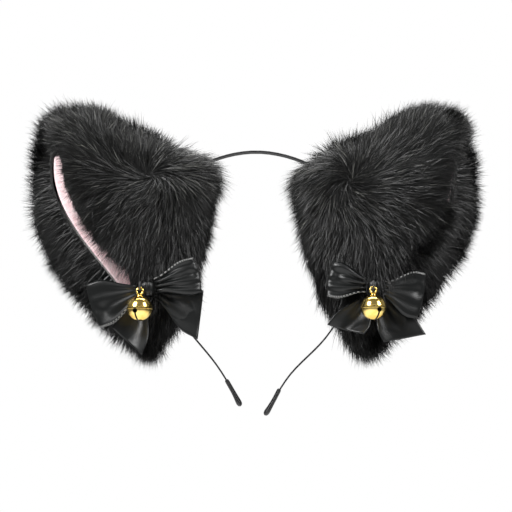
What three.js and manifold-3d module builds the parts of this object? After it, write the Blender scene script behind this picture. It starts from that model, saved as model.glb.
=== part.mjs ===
// Cat ears headband: a black spring-steel hair band with two hollow faux-fur ears,
// each lined with pink plush and finished with a satin bow and a gold jingle bell.
// Millimetres. X to the wearer's left (right as seen from in front), Y to the back, Z up.
// The origin is the middle of the band's inner face at the crown, where it rests on the head.
import * as THREE from 'three';
import { mergeVertices } from 'three/addons/utils/BufferGeometryUtils.js';
import Module from 'manifold-3d';

// ---- driving dimensions ----
const GAP = 0.3; // running gap between touching pieces

// spring-steel band
const BAND_WIDTH = 5;
const BAND_THICKNESS = 0.8;
const BAND_BULGE = 54; // widest half-span of the arch
const BAND_BULGE_Z = -46;
const BAND_STEPS = 41; // facets on each side of the crown
const CROWN_FLAT = 5; // length of the flat facet that rests on the head
const LEG_ENDS = { left: [-7.5, -129.3], right: [4.5, -134] };
const LEG_KNEES = { left: [-38.4, -86], right: [36, -94] };

// rubber tips pushed on the band's ends
const TIP_LENGTH = 15;
const TIP_WIDTH = 7.4;
const TIP_NECK = 1.8;
const TIP_BULB = 2.9;
const TIP_CAP = 2.5; // rubber past the strip's end

// ear form: a pod that comes to a point at the bow and to a flat ridge at the top
const EAR_BOTTOM_Z = -99;
const EAR_WAIST_Z = -24; // level of the greatest width
const EAR_TOP_Z = 11;
const EAR_MID_Y = -21.2;
const FRONT_DEPTH = 22;
const REAR_DEPTH = 13;
const EAR_LEAN = 11.5; // the point lies this much nearer the head than the waist
const RIDGE_LEAN = 14; // the ridge lies this much further out
const RIDGE_SLANT = 0.4; // share of its height that the ridge loses at the head side
const SLANT_SPAN = [42, 82]; // between these distances from the middle of the head
const FUR_WALL = 3.5; // backing and dense underfur
const STIFFENER = 2;
const LINING = 1.5;
const LAYER_GAP = 4 * GAP; // between the fur's backing and what it covers
const ROOM_SHARE = 0.72; // most of the ear's depth that the layers may take up

// the slit that shows the lining, and its two lips
const MOUTH_TOP_Z = -3;
const MOUTH_OPEN_Z = -9; // fully open from here
const MOUTH_CLOSING_Z = -66; // to here
const MOUTH_BOTTOM_Z = -78;
const MOUTH_SWELL_Z = [-50, -68]; // the slit is widest between these levels
const MOUTH_SWELL = 0.9;
const WIDEST_RIM = 0.985; // share of the section's half width
const CLOSED_SLIT = 0.03; // share of the section's half width
const LIPS_START_Z = 6;
const LIP_LIFT = 3; // the front lip stands proud
const LIP_DIP = 1.5; // the rear lip turns in
const LIP_WALL = 1.4; // the fur's wall thins to this at the rear lip
const LINED_Z = [-76, -6];
const POCKET_REACH = 0.74; // share of the section's half width that the lining reaches in
const POCKET_BEND = 4;
const POCKET_RISE = 2.5;
const EARS = {
  left: { side: -1, halfWidth: 39.8, centre: 65.2, rim: 1.045, rimSlope: 0.0042, rimCurve: 8e-5, slit: 0.27 },
  right: { side: 1, halfWidth: 38.5, centre: 64.3, rim: 0.985, rimSlope: 0.0025, rimCurve: 3e-5, slit: 0.2 },
};

// the ears' seats on the band
const SLEEVE_SPAN = { left: [0.145, 0.36], right: [0.632, 0.842] }; // share of the band's length
const SLEEVE_WIDTH = 8.4;
const SLEEVE_WALL = 1.7; // half height over the band
const PAD_BACK_Y = -4.6;
const PAD_FRONT_Y = -7.7;

// satin bows
const RIBBON = 0.6;
const BOW_Y = -43;
const LOOP_PUFF = 2.3; // half the loop's opening
const LOOP_SEAM = 0.6; // half the space between its two ends at the knot
const LOOP_FORWARD = 0.9;
const LOOP_STEPS = 16;
const TAIL_BACK = 3.2; // the tails start behind the loops
const TAIL_NARROW = 2.4; // half width at the knot
const TAIL_STEPS = 8;
const KNOT = { width: 7, height: 8, depth: 8, forward: -0.5 };
const BOWS = {
  left: {
    knot: [-51.7, -75],
    loops: { outer: [-26.5, -9, 11], inner: [24.5, 6.5, 8.5] },
    tails: { outer: [-9, -24, 9], inner: [24, -12, 11] },
  },
  right: {
    knot: [56.5, -74.5],
    loops: { outer: [23, -4.5, 11], inner: [-22, 4, 8.5] },
    tails: { outer: [13.5, -23, 9.5], inner: [-13, -19, 8.5] },
  },
};

// jingle bells
const BELL_RADIUS = 6;
const BELL_WALL = 0.5;
const FLANGE = 0.25; // past the shell's radius
const FLANGE_HEIGHT = 0.4;
const SEAM_HALF = 0.15; // half the space between the two pressed shells
const BELL_Y = -50.4;
const BELL_DROP = 10.4; // bell centre below the knot's centre
const SLOT_WIDTH = 0.9;
const SLOT_HOLE = 1.2; // radius of the round hole at each end of the slot
const HOLE_TILT = 0.25; // how far each hole lies under the flange, in radians
const SLOT_TURN = { left: -0.32, right: 0.44 }; // turn of the slot about the bell's axis
const BELL_X = { left: -54.8, right: 55.3 };
const EYE_RING = 1.45;
const EYE_WIRE = 0.5;
const EYE_RISE = BELL_RADIUS + EYE_RING + EYE_WIRE + GAP; // eye's centre over the bell's
const PELLET_RADIUS = 1.7;
const THREAD = 0.3;
const THREAD_RING = 1.7;
const THREAD_RISE = EYE_RISE + EYE_RING + 0.9; // thread loop's centre over the bell's

const wasm = await Module();
wasm.setup();
const headband = new THREE.Group();
const MATERIALS = {
  steel: { color: 0x1b1b1c, roughness: 0.35, metalness: 0.9 },
  rubber: { color: 0x0b0b0c, roughness: 0.5, metalness: 0 },
  fur: { color: 0x161512, roughness: 0.8, metalness: 0 },
  plush: { color: 0xebcdd0, roughness: 0.95, metalness: 0 },
  felt: { color: 0x141414, roughness: 1, metalness: 0 },
  wadding: { color: 0xe9e8e4, roughness: 1, metalness: 0 },
  satin: { color: 0x121414, roughness: 0.35, metalness: 0 },
  gold: { color: 0xd9a93a, roughness: 0.15, metalness: 1 },
  pellet: { color: 0x8a8c90, roughness: 0.3, metalness: 1 },
  thread: { color: 0x101010, roughness: 0.9, metalness: 0 },
};

const clamp = THREE.MathUtils.clamp;
const smooth = THREE.MathUtils.smoothstep;

function add(name, geometry, finish) {
  const mesh = new THREE.Mesh(geometry, new THREE.MeshStandardMaterial(MATERIALS[finish]));
  mesh.name = name;
  headband.add(mesh);
}

// ---- closed solids ----
function toSolid(geometry) {
  const bare = geometry.clone();
  bare.deleteAttribute('normal');
  bare.deleteAttribute('uv');
  const merged = mergeVertices(bare, 1e-5);
  const vertProperties = new Float32Array(merged.attributes.position.array);
  const triVerts = new Uint32Array(merged.index.array);
  return new wasm.Manifold(new wasm.Mesh({ numProp: 3, vertProperties, triVerts }));
}

function toGeometry(solid) {
  const mesh = solid.getMesh();
  const geometry = new THREE.BufferGeometry();
  geometry.setAttribute('position', new THREE.BufferAttribute(new Float32Array(mesh.vertProperties), 3));
  geometry.setIndex(new THREE.BufferAttribute(new Uint32Array(mesh.triVerts), 1));
  geometry.computeVertexNormals();
  return geometry;
}

// A wall between two sheets over the unit square: outer and inner give a point for (u, v).
function wallBetween(outer, inner, uSteps, vSteps) {
  const points = [];
  const faces = [];
  const row = vSteps + 1;
  const inside = (uSteps + 1) * row;
  for (const sheet of [outer, inner]) {
    for (let i = 0; i <= uSteps; i += 1) {
      for (let j = 0; j <= vSteps; j += 1) points.push(...sheet(i / uSteps, j / vSteps));
    }
  }
  const quad = (a, b, c, d) => faces.push(a, b, c, a, c, d);
  for (let i = 0; i < uSteps; i += 1) {
    for (let j = 0; j < vSteps; j += 1) {
      const k = i * row + j;
      quad(k, k + row, k + row + 1, k + 1);
      quad(inside + k, inside + k + 1, inside + k + row + 1, inside + k + row);
    }
  }
  for (let i = 0; i < uSteps; i += 1) {
    const low = i * row;
    const high = low + vSteps;
    quad(low, inside + low, inside + low + row, low + row);
    quad(high, high + row, inside + high + row, inside + high);
  }
  for (let j = 0; j < vSteps; j += 1) {
    const first = j;
    const last = uSteps * row + j;
    quad(first, first + 1, inside + first + 1, inside + first);
    quad(last, inside + last, inside + last + 1, last + 1);
  }
  const geometry = new THREE.BufferGeometry();
  geometry.setAttribute('position', new THREE.Float32BufferAttribute(points, 3));
  geometry.setIndex(faces);
  if (volumeOf(geometry) < 0) {
    const index = geometry.index.array;
    for (let k = 0; k < index.length; k += 3) [index[k], index[k + 1]] = [index[k + 1], index[k]];
  }
  geometry.computeVertexNormals();
  return geometry;
}

function volumeOf(geometry) {
  const p = geometry.attributes.position;
  const index = geometry.index.array;
  const [a, b, c] = [new THREE.Vector3(), new THREE.Vector3(), new THREE.Vector3()];
  let volume = 0;
  for (let k = 0; k < index.length; k += 3) {
    a.fromBufferAttribute(p, index[k]);
    b.fromBufferAttribute(p, index[k + 1]);
    c.fromBufferAttribute(p, index[k + 2]);
    volume += a.dot(b.cross(c)) / 6;
  }
  return volume;
}

// ---- band, tips, sleeves and pads: all follow the band's centre line in the XZ plane ----
function bandCurve(rise) {
  const points = [
    LEG_ENDS.left, [-19, -110], LEG_KNEES.left, [-50, -68], [-BAND_BULGE, BAND_BULGE_Z], [-46.5, -22.5],
    [-27, -6.2], [0, 0.4], [27, -6.2], [46.5, -22.5], [BAND_BULGE, BAND_BULGE_Z], [50.5, -69],
    LEG_KNEES.right, [16.5, -114.5], LEG_ENDS.right,
  ];
  const places = points.map(([x, z]) => new THREE.Vector3(x, z + rise, 0));
  return new THREE.CatmullRomCurve3(places, false, 'centripetal');
}

// Where the crown is along a curve, as a share of its length.
function crownShare(curve) {
  const lengths = curve.getLengths(800);
  return lengths[400] / lengths[800];
}

// The crown's facet has its inner face exactly at Z = 0.
function bandOnHead() {
  const loose = bandCurve(0);
  const corner = loose.getPointAt(crownShare(loose) + CROWN_FLAT / 2 / loose.getLength());
  return bandCurve(BAND_THICKNESS / 2 - corner.y);
}
const BAND = bandOnHead();

// Even shares of the band's length between two of them.
const spread = (from, to, steps) =>
  Array.from({ length: steps + 1 }, (_, i) => THREE.MathUtils.lerp(from, to, i / steps));

// The outline through these shares of the band's length, offset to each side by half(share of the span).
function alongBand(shares, half) {
  const near = [];
  const far = [];
  const [from, to] = [shares[0], shares[shares.length - 1]];
  for (const share of shares) {
    const at = BAND.getPointAt(share);
    const run = BAND.getTangentAt(share);
    const reach = half((share - from) / (to - from));
    near.push(new THREE.Vector2(at.x - run.y * reach, at.y + run.x * reach));
    far.push(new THREE.Vector2(at.x + run.y * reach, at.y - run.x * reach));
  }
  return new THREE.Shape([...near, ...far.reverse()]);
}

// A flat outline in X and Z pulled out along Y between back and front.
function pulledAlongY(shape, frontY, backY) {
  const geometry = new THREE.ExtrudeGeometry(shape, { depth: backY - frontY, bevelEnabled: false, steps: 1 });
  geometry.rotateX(Math.PI / 2);
  geometry.translate(0, backY, 0);
  return geometry;
}

function bandStrip() {
  const end = TIP_CAP / BAND.getLength();
  const crown = crownShare(BAND);
  const flat = CROWN_FLAT / 2 / BAND.getLength();
  const shares = [...spread(end, crown - flat, BAND_STEPS), ...spread(crown + flat, 1 - end, BAND_STEPS)];
  const outline = alongBand(shares, () => BAND_THICKNESS / 2);
  return pulledAlongY(outline, -BAND_WIDTH / 2, BAND_WIDTH / 2);
}

function clearanceRound(from, to, steps) {
  const outline = alongBand(spread(from, to, steps), () => BAND_THICKNESS / 2 + GAP);
  return toSolid(pulledAlongY(outline, -BAND_WIDTH / 2 - GAP, BAND_WIDTH / 2 + GAP));
}

// A rubber boot, slim at the neck and swelling to a bulb past the strip's end.
function rubberTip(side) {
  const length = BAND.getLength();
  const reach = TIP_LENGTH / length;
  const end = (TIP_CAP - GAP) / length;
  const swell = (t) => {
    const bulb = smooth(t, 0.35, 0.8) * (TIP_BULB - TIP_NECK);
    const nose = 1 - 0.45 * smooth(t, 0.88, 1) ** 2;
    return ((TIP_NECK + bulb) / 2) * nose;
  };
  const [from, to] = side === 'left' ? [0, reach] : [1 - reach, 1];
  const half = side === 'left' ? (t) => swell(1 - t) : swell;
  const boot = toSolid(pulledAlongY(alongBand(spread(from, to, 16), half), -TIP_WIDTH / 2, TIP_WIDTH / 2));
  const [low, high] = side === 'left' ? [end, reach * 1.2] : [1 - reach * 1.2, 1 - end];
  return toGeometry(boot.subtract(clearanceRound(low, high, 8)));
}

// A felt sleeve sewn round the strip, and the felt pad that carries the ear on it.
function bandSleeve([from, to]) {
  const outline = alongBand(spread(from, to, 18), () => SLEEVE_WALL);
  const outer = toSolid(pulledAlongY(outline, -SLEEVE_WIDTH / 2, SLEEVE_WIDTH / 2));
  return toGeometry(outer.subtract(clearanceRound(from - 0.01, to + 0.01, 24)));
}

function seatPad([from, to]) {
  const trim = 0.004;
  const half = (t) => 2 + 3 * Math.sin(Math.PI * t);
  return pulledAlongY(alongBand(spread(from + trim, to - trim, 14), half), PAD_FRONT_Y, PAD_BACK_Y);
}

// ---- ears ----
// Size of the ear's horizontal section at a height: middle, half width, and depth to front and rear.
function earSection(ear, z) {
  const low = clamp((z - EAR_BOTTOM_Z) / (EAR_WAIST_Z - EAR_BOTTOM_Z), 0, 1);
  const high = clamp((z - EAR_WAIST_Z) / (EAR_TOP_Z - EAR_WAIST_Z), 0, 1);
  const swell = 1 - (1 - low) ** 2;
  const ridge = Math.sqrt(1 - high ** 2);
  return {
    middle: ear.centre - EAR_LEAN * (1 - smooth(low ** 0.75, 0, 1)) + RIDGE_LEAN * high ** 4,
    half: ear.halfWidth * swell ** 0.95 * Math.sqrt(1 - high ** 3.8),
    front: FRONT_DEPTH * swell ** 0.7 * ridge,
    rear: REAR_DEPTH * swell ** 0.7 * ridge,
  };
}

// Where the two lips of the slit lie across the section, from -1 at the head to +1 at the outer edge.
function lipsAt(ear, z) {
  const below = Math.max(MOUTH_TOP_Z - z, 0);
  const rear = Math.min(WIDEST_RIM, ear.rim - ear.rimSlope * below - ear.rimCurve * below ** 2);
  const open = smooth(-z, -MOUTH_TOP_Z, -MOUTH_OPEN_Z) * (1 - smooth(-z, -MOUTH_CLOSING_Z, -MOUTH_BOTTOM_Z));
  const swell = 1 + MOUTH_SWELL * smooth(-z, -MOUTH_SWELL_Z[0], -MOUTH_SWELL_Z[1]);
  const slit = CLOSED_SLIT + ear.slit * open * swell;
  return { rear, front: rear - slit };
}

// The ridge slants down towards the head: above the waist, heights shrink on that side.
function slanted([x, y, z]) {
  const keep = 1 - RIDGE_SLANT * (1 - smooth(Math.abs(x), ...SLANT_SPAN));
  return [x, y, z > EAR_WAIST_Z ? EAR_WAIST_Z + (z - EAR_WAIST_Z) * keep : z];
}

// A point on the ear's skin: turn runs from 0 at the head side over the front to 360 over the rear.
function earPoint(ear, z, turn, inset) {
  const section = earSection(ear, z);
  const across = -Math.cos(turn);
  const lift = Math.sin(turn);
  const x = section.middle + (section.half - inset) * across;
  const seam = (GAP * (1 - across)) / 2;
  const y = lift >= 0
    ? EAR_MID_Y - seam - (section.front - inset) * lift ** 0.9
    : EAR_MID_Y + seam + (section.rear - inset) * (-lift) ** 0.6;
  return slanted([ear.side * x, y, z]);
}

const levels = (low, high) => (v) => THREE.MathUtils.lerp(low, high, 0.5 - 0.5 * Math.cos(Math.PI * v));
const FUR_LEVELS = levels(EAR_BOTTOM_Z + 2, EAR_TOP_Z - 0.7);
const LINED_LEVELS = levels(...LINED_Z);

// Insets shrink with the section so that a wall never folds over at the ridge or the point.
function insetAt(depth, room) {
  return Math.min(depth, room * ROOM_SHARE);
}

// How far a lip has turned at a height: nothing at the slit's two ends.
const lipTurn = (z) => smooth(-z, -LIPS_START_Z, 10) * (1 - smooth(-z, 74, 90));

function frontWall(ear, [outerInset, innerInset], [from, trim], heights, steps) {
  const sheet = (inset) => (u, v) => {
    const z = heights(v);
    const lip = Math.acos(-lipsAt(ear, z).front);
    const turn = THREE.MathUtils.lerp(from, lip - trim, u);
    const lift = LIP_LIFT * (turn / lip) ** 3 * lipTurn(z);
    return earPoint(ear, z, turn, insetAt(inset, earSection(ear, z).front) - lift);
  };
  return wallBetween(sheet(outerInset), sheet(innerInset), ...steps);
}

function rearTurn(ear, z, u) {
  return THREE.MathUtils.lerp(0, -(2 * Math.PI - Math.acos(-lipsAt(ear, z).rear)), u);
}

function rearWall(ear) {
  const sheet = (inner) => (u, v) => {
    const z = FUR_LEVELS(v);
    const turned = smooth(u, 0.8, 1) * lipTurn(z);
    const wall = inner * THREE.MathUtils.lerp(FUR_WALL, LIP_WALL, turned);
    return earPoint(ear, z, rearTurn(ear, z, u), insetAt(wall, earSection(ear, z).rear) + LIP_DIP * turned);
  };
  return wallBetween(sheet(0), sheet(1), 18, 11);
}

// The rear half of the lining dips from the rear lip into the ear like a pocket.
function pocket(ear, z, u, back) {
  const section = earSection(ear, z);
  const rim = earPoint(ear, z, rearTurn(ear, z, 1), LIP_WALL + LIP_DIP + 2 * GAP);
  const deepX = ear.side * (section.middle - POCKET_REACH * section.half);
  const deepY = EAR_MID_Y - POCKET_RISE;
  const x = THREE.MathUtils.lerp(rim[0], deepX, u);
  const y = THREE.MathUtils.lerp(rim[1], deepY, u) + POCKET_BEND * Math.sin(Math.PI * u) + back;
  return slanted([x, y, z]);
}

function liningRear(ear) {
  const sheet = (back) => (u, v) => pocket(ear, LINED_LEVELS(v), u, back);
  return wallBetween(sheet(0), sheet(LINING), 10, 8);
}

function wadding(ear) {
  const outer = (u, v) => {
    const z = LINED_LEVELS(v);
    const share = 0.94 - 0.86 * u;
    const dip = LIP_DIP * smooth(share, 0.8, 1);
    return earPoint(ear, z, rearTurn(ear, z, share), FUR_WALL + LAYER_GAP + dip);
  };
  const inner = (u, v) => pocket(ear, LINED_LEVELS(v), 0.04 + 0.92 * u, LINING + 1.5 * GAP);
  return wallBetween(outer, inner, 12, 8);
}

for (const [side, ear] of Object.entries(EARS)) {
  const board = [FUR_WALL + LAYER_GAP, FUR_WALL + LAYER_GAP + STIFFENER];
  const plush = [board[1] + GAP, board[1] + GAP + LINING];
  add(`ear_${side}_fur_front`, frontWall(ear, [0, FUR_WALL], [0, 0], FUR_LEVELS, [14, 11]), 'fur');
  add(`ear_${side}_fur_rear`, rearWall(ear), 'fur');
  add(`ear_${side}_stiffener`, frontWall(ear, board, [0.3, 0.06], LINED_LEVELS, [9, 8]), 'felt');
  add(`ear_${side}_lining_front`, frontWall(ear, plush, [0.35, 0.03], LINED_LEVELS, [9, 8]), 'plush');
  add(`ear_${side}_lining_rear`, liningRear(ear), 'plush');
  add(`ear_${side}_wadding`, wadding(ear), 'wadding');
  add(`ear_${side}_seat_pad`, seatPad(SLEEVE_SPAN[side]), 'felt');
  add(`ear_${side}_band_sleeve`, bandSleeve(SLEEVE_SPAN[side]), 'felt');
}

add('headband', bandStrip(), 'steel');
add('band_tip_left', rubberTip('left'), 'rubber');
add('band_tip_right', rubberTip('right'), 'rubber');

// ---- bows ----
// A ribbon laid along a line of sections, each with its middle, half width and the way that it faces.
function ribbonStrip(knot, [dx, dz], sections) {
  const run = new THREE.Vector2(dx, dz).normalize();
  const place = ([along, forward, half], sideways) => [
    knot[0] + run.x * along - run.y * half * sideways,
    BOW_Y + forward,
    knot[1] + run.y * along + run.x * half * sideways,
  ];
  const at = (u) => {
    const k = Math.min(Math.floor(u * (sections.length - 1)), sections.length - 2);
    const share = u * (sections.length - 1) - k;
    return sections[k].map((value, i) => THREE.MathUtils.lerp(value, sections[k + 1][i], share));
  };
  const sheet = (offset) => (u, v) => {
    const here = at(u);
    const before = at(Math.max(u - 0.01, 0));
    const after = at(Math.min(u + 0.01, 1));
    const along = new THREE.Vector2(after[0] - before[0], after[1] - before[1]).normalize();
    return place([here[0] - along.y * offset, here[1] + along.x * offset, here[2]], 2 * v - 1);
  };
  return wallBetween(sheet(-RIBBON / 2), sheet(RIBBON / 2), sections.length - 1, 2);
}

function bowLoop(knot, [dx, dz, half]) {
  const length = Math.hypot(dx, dz);
  const sections = [];
  const start = KNOT.width / 2 + 0.5;
  for (let i = 0; i <= LOOP_STEPS; i += 1) {
    const turn = (i / LOOP_STEPS) * Math.PI;
    const reach = Math.abs(Math.sin(turn));
    const share = reach ** 0.75;
    const opening = (LOOP_SEAM + LOOP_PUFF * Math.sqrt(reach)) * Math.cos(turn);
    const spreadHalf = THREE.MathUtils.lerp(KNOT.height / 2 - 2 * GAP, half, smooth(share, 0, 0.8));
    sections.push([start + (length - start) * share, opening - LOOP_FORWARD, spreadHalf]);
  }
  return ribbonStrip(knot, [dx, dz], sections);
}

function bowTail(knot, [dx, dz, half]) {
  const length = Math.hypot(dx, dz);
  const sections = [];
  const start = KNOT.width / 2 + 0.5;
  for (let i = 0; i <= TAIL_STEPS; i += 1) {
    const share = i / TAIL_STEPS;
    const forward = TAIL_BACK - 1.2 * share + 0.6 * Math.sin(5 * share);
    const spreadHalf = THREE.MathUtils.lerp(TAIL_NARROW, half, smooth(share, 0, 0.8));
    sections.push([start + (length + 1.5 - start) * share, forward, spreadHalf]);
  }
  return ribbonStrip(knot, [dx, dz], sections);
}

function bowKnot([x, z]) {
  const shape = new THREE.Shape();
  const [w, h] = [KNOT.width / 2, KNOT.height / 2];
  shape.absellipse(0, 0, w - 0.1, h, 0, 2 * Math.PI, false);
  const geometry = new THREE.ExtrudeGeometry(shape, {
    depth: KNOT.depth - 2,
    bevelSize: 1,
    bevelOffset: -1,
    bevelThickness: 1,
    bevelSegments: 2,
    curveSegments: 7,
  });
  geometry.rotateX(Math.PI / 2);
  geometry.translate(x, BOW_Y + KNOT.forward + KNOT.depth / 2 - 1, z);
  return geometry;
}

for (const [side, bow] of Object.entries(BOWS)) {
  for (const [place, size] of Object.entries(bow.loops)) {
    add(`bow_${side}_loop_${place}`, bowLoop(bow.knot, size), 'satin');
  }
  for (const [place, size] of Object.entries(bow.tails)) {
    add(`bow_${side}_tail_${place}`, bowTail(bow.knot, size), 'satin');
  }
  add(`bow_${side}_knot`, bowKnot(bow.knot), 'satin');
}

// ---- bells ----
const ROUND = 18;
const ARC = 6; // steps from the flange to the pole

// Half of the shell, with a thin flange where the halves are pressed together.
function bellHalf(up) {
  const arc = (radius, squeeze) => (_, i) => {
    const turn = (i / ARC) * (Math.PI / 2);
    return [radius * Math.cos(turn) * squeeze, SEAM_HALF + (radius - SEAM_HALF) * Math.sin(turn)];
  };
  const outline = [
    ...Array.from({ length: ARC + 1 }, arc(BELL_RADIUS, 0.985)),
    ...Array.from({ length: ARC + 1 }, arc(BELL_RADIUS - BELL_WALL, 1)).reverse(),
    [BELL_RADIUS + FLANGE, SEAM_HALF],
    [BELL_RADIUS + FLANGE, SEAM_HALF + FLANGE_HEIGHT],
  ];
  const ring = outline.map(([r, h]) => new THREE.Vector2(Math.max(r, 0), h * up));
  if (up < 0) ring.reverse();
  const geometry = new THREE.LatheGeometry([...ring, ring[0]], ROUND);
  geometry.rotateX(Math.PI / 2);
  return toSolid(geometry);
}

// The slot runs under the bell from one round hole to the other.
function slotCutter(turn) {
  const slit = new THREE.BoxGeometry(SLOT_WIDTH, 2 * BELL_RADIUS - 1.2, 8);
  slit.translate(0, 0, -6.2);
  let cutter = toSolid(slit);
  for (const end of [-1, 1]) {
    const hole = new THREE.CylinderGeometry(SLOT_HOLE, SLOT_HOLE, 4, 12);
    hole.translate(0, end * BELL_RADIUS, 0);
    hole.rotateX(-end * HOLE_TILT);
    cutter = cutter.add(toSolid(hole));
  }
  return cutter.rotate(0, 0, THREE.MathUtils.radToDeg(turn));
}

for (const side of ['left', 'right']) {
  const knotZ = BOWS[side].knot[1];
  const placed = (geometry, rise = 0) => geometry.translate(BELL_X[side], BELL_Y, knotZ - BELL_DROP + rise);

  add(`bell_${side}_shell_top`, placed(toGeometry(bellHalf(1))), 'gold');
  const slotted = bellHalf(-1).subtract(slotCutter(SLOT_TURN[side]));
  add(`bell_${side}_shell_bottom`, placed(toGeometry(slotted)), 'gold');
  const eye = new THREE.TorusGeometry(EYE_RING, EYE_WIRE, 8, ROUND);
  eye.rotateX(Math.PI / 2);
  add(`bell_${side}_eye`, placed(eye, EYE_RISE), 'gold');
  const pellet = new THREE.SphereGeometry(PELLET_RADIUS, 12, 8);
  add(`bell_${side}_pellet`, placed(pellet, -(BELL_RADIUS - BELL_WALL - PELLET_RADIUS - GAP / 2)), 'pellet');
  const thread = new THREE.TorusGeometry(THREAD_RING, THREAD, 6, ROUND);
  thread.rotateY(Math.PI / 2);
  thread.scale(1, 1.3, 1.1);
  add(`bell_${side}_thread`, placed(thread, THREAD_RISE), 'thread');
}

export default headband;
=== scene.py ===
import math

import bmesh
import bpy
import numpy as np
from mathutils import Matrix, Vector


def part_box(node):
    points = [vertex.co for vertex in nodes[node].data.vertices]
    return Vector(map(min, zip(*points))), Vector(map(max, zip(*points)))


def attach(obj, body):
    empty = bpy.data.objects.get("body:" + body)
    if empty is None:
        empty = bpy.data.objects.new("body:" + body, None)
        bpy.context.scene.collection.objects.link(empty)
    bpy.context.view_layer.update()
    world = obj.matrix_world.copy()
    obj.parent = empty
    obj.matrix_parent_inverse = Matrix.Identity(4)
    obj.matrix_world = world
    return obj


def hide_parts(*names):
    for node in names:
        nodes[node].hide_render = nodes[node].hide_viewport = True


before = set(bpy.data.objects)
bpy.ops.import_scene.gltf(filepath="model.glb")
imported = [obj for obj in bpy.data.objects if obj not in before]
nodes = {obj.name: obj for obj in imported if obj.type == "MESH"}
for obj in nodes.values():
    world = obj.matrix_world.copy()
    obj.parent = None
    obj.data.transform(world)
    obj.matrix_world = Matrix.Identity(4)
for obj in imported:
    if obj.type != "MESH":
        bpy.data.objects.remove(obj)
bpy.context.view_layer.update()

SIDES = ("left", "right")

# ---- Studio ----
# A white studio: a low pale floor, a big soft light on each side and one above, and a long lens
# held a little below the headband, looking slightly up at it. The walls are white to the eye only.
CAMERA_TILT = math.radians(8)
CAMERA_REACH = 0.720
CAMERA_TARGET = Vector((0, -0.012, -0.0551))
FLOOR_LEVEL = -0.55
FLOOR_HALF = 1.5

camera_data = bpy.data.cameras.new("camera")
camera_data.lens = 101.25
camera_data.sensor_width = 36
camera_data.clip_start = 0.01
camera = bpy.data.objects.new("camera", camera_data)
bpy.context.collection.objects.link(camera)
look = Vector((0, math.cos(CAMERA_TILT), math.sin(CAMERA_TILT)))
camera.location = CAMERA_TARGET - look * CAMERA_REACH
camera.rotation_euler = look.to_track_quat("-Z", "Y").to_euler()
bpy.context.scene.camera = camera
bpy.context.scene.view_settings.view_transform = "Standard"


def soft_light(name, place, aim, size, watts):
    data = bpy.data.lights.new(name, "AREA")
    data.shape = "RECTANGLE"
    data.size, data.size_y = size
    data.energy = watts
    lamp = bpy.data.objects.new(name, data)
    bpy.context.collection.objects.link(lamp)
    lamp.location = place
    lamp.rotation_euler = (Vector(aim) - Vector(place)).to_track_quat("-Z", "Y").to_euler()


AIM = (0, -0.02, -0.05)
soft_light("light_left", (-0.75, -0.75, 0.55), AIM, (0.45, 0.6), 20)
soft_light("light_right", (0.8, -0.6, 0.45), AIM, (0.4, 0.6), 11)
soft_light("light_top", (0, 0.15, 0.9), AIM, (0.9, 0.5), 13)

world = bpy.data.worlds.new("white studio")
bpy.context.scene.world = world
world.use_nodes = True
tree = world.node_tree
tree.nodes.clear()
room = tree.nodes.new("ShaderNodeBackground")
room.inputs["Color"].default_value = (1, 1, 1, 1)
room.inputs["Strength"].default_value = 0.22
paper = tree.nodes.new("ShaderNodeBackground")
paper.inputs["Color"].default_value = (1, 1, 1, 1)
seen = tree.nodes.new("ShaderNodeLightPath")
choose = tree.nodes.new("ShaderNodeMixShader")
sky = tree.nodes.new("ShaderNodeOutputWorld")
tree.links.new(seen.outputs["Is Camera Ray"], choose.inputs["Fac"])
tree.links.new(room.outputs["Background"], choose.inputs[1])
tree.links.new(paper.outputs["Background"], choose.inputs[2])
tree.links.new(choose.outputs["Shader"], sky.inputs["Surface"])

floor_mesh = bpy.data.meshes.new("floor")
bm = bmesh.new()
lowered = Matrix.Translation((0, 0, FLOOR_LEVEL))
bmesh.ops.create_grid(bm, x_segments=2, y_segments=2, size=FLOOR_HALF, matrix=lowered)
bm.to_mesh(floor_mesh)
bm.free()
floor = bpy.data.objects.new("floor", floor_mesh)
bpy.context.collection.objects.link(floor)
floor_paint = bpy.data.materials.new("pale floor")
floor_paint.use_nodes = True
floor_shader = floor_paint.node_tree.nodes["Principled BSDF"]
floor_shader.inputs["Base Color"].default_value = (0.9, 0.9, 0.9, 1)
floor_shader.inputs["Roughness"].default_value = 0.9
floor_mesh.materials.append(floor_paint)

# ---- Spring band ----
# One strip of black-coated spring steel, 5 mm wide and 0.8 mm thick, rolled into an arch. Its long
# edges are rounded by tumbling, and the satin coating is finely mottled.


WELD = 1e-6


def plain_material(name, color, roughness, metallic=0.0):
    """A material with its Principled shader, and the tree's nodes and links, ready for detail."""
    material = bpy.data.materials.new(name)
    material.use_nodes = True
    shader = material.node_tree.nodes["Principled BSDF"]
    shader.inputs["Base Color"].default_value = (*color, 1)
    shader.inputs["Roughness"].default_value = roughness
    shader.inputs["Metallic"].default_value = metallic
    return material, shader, material.node_tree.nodes, material.node_tree.links


def shader_node(n, kind, **settings):
    """A new node with the named inputs set."""
    node = n.new("ShaderNode" + kind)
    for socket, value in settings.items():
        node.inputs[socket.replace("_", " ")].default_value = value
    return node


def tone_ramp(n, low, dark, high, light):
    """A colour ramp from the dark tone at low to the light one at high."""
    ramp = n.new("ShaderNodeValToRGB")
    for stop, position, color in zip(ramp.color_ramp.elements, (low, high), (dark, light)):
        stop.position = position
        stop.color = (*color, 1)
    return ramp


def welded_copy(name, node):
    """A new object with the CAD node's mesh, its triangles joined at their corners."""
    mesh = nodes[node].data.copy()
    mesh.name = name
    bm = bmesh.new()
    bm.from_mesh(mesh)
    bmesh.ops.remove_doubles(bm, verts=bm.verts, dist=WELD)
    bm.to_mesh(mesh)
    bm.free()
    mesh.materials.clear()
    piece = bpy.data.objects.new(name, mesh)
    bpy.context.collection.objects.link(piece)
    return piece


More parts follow.
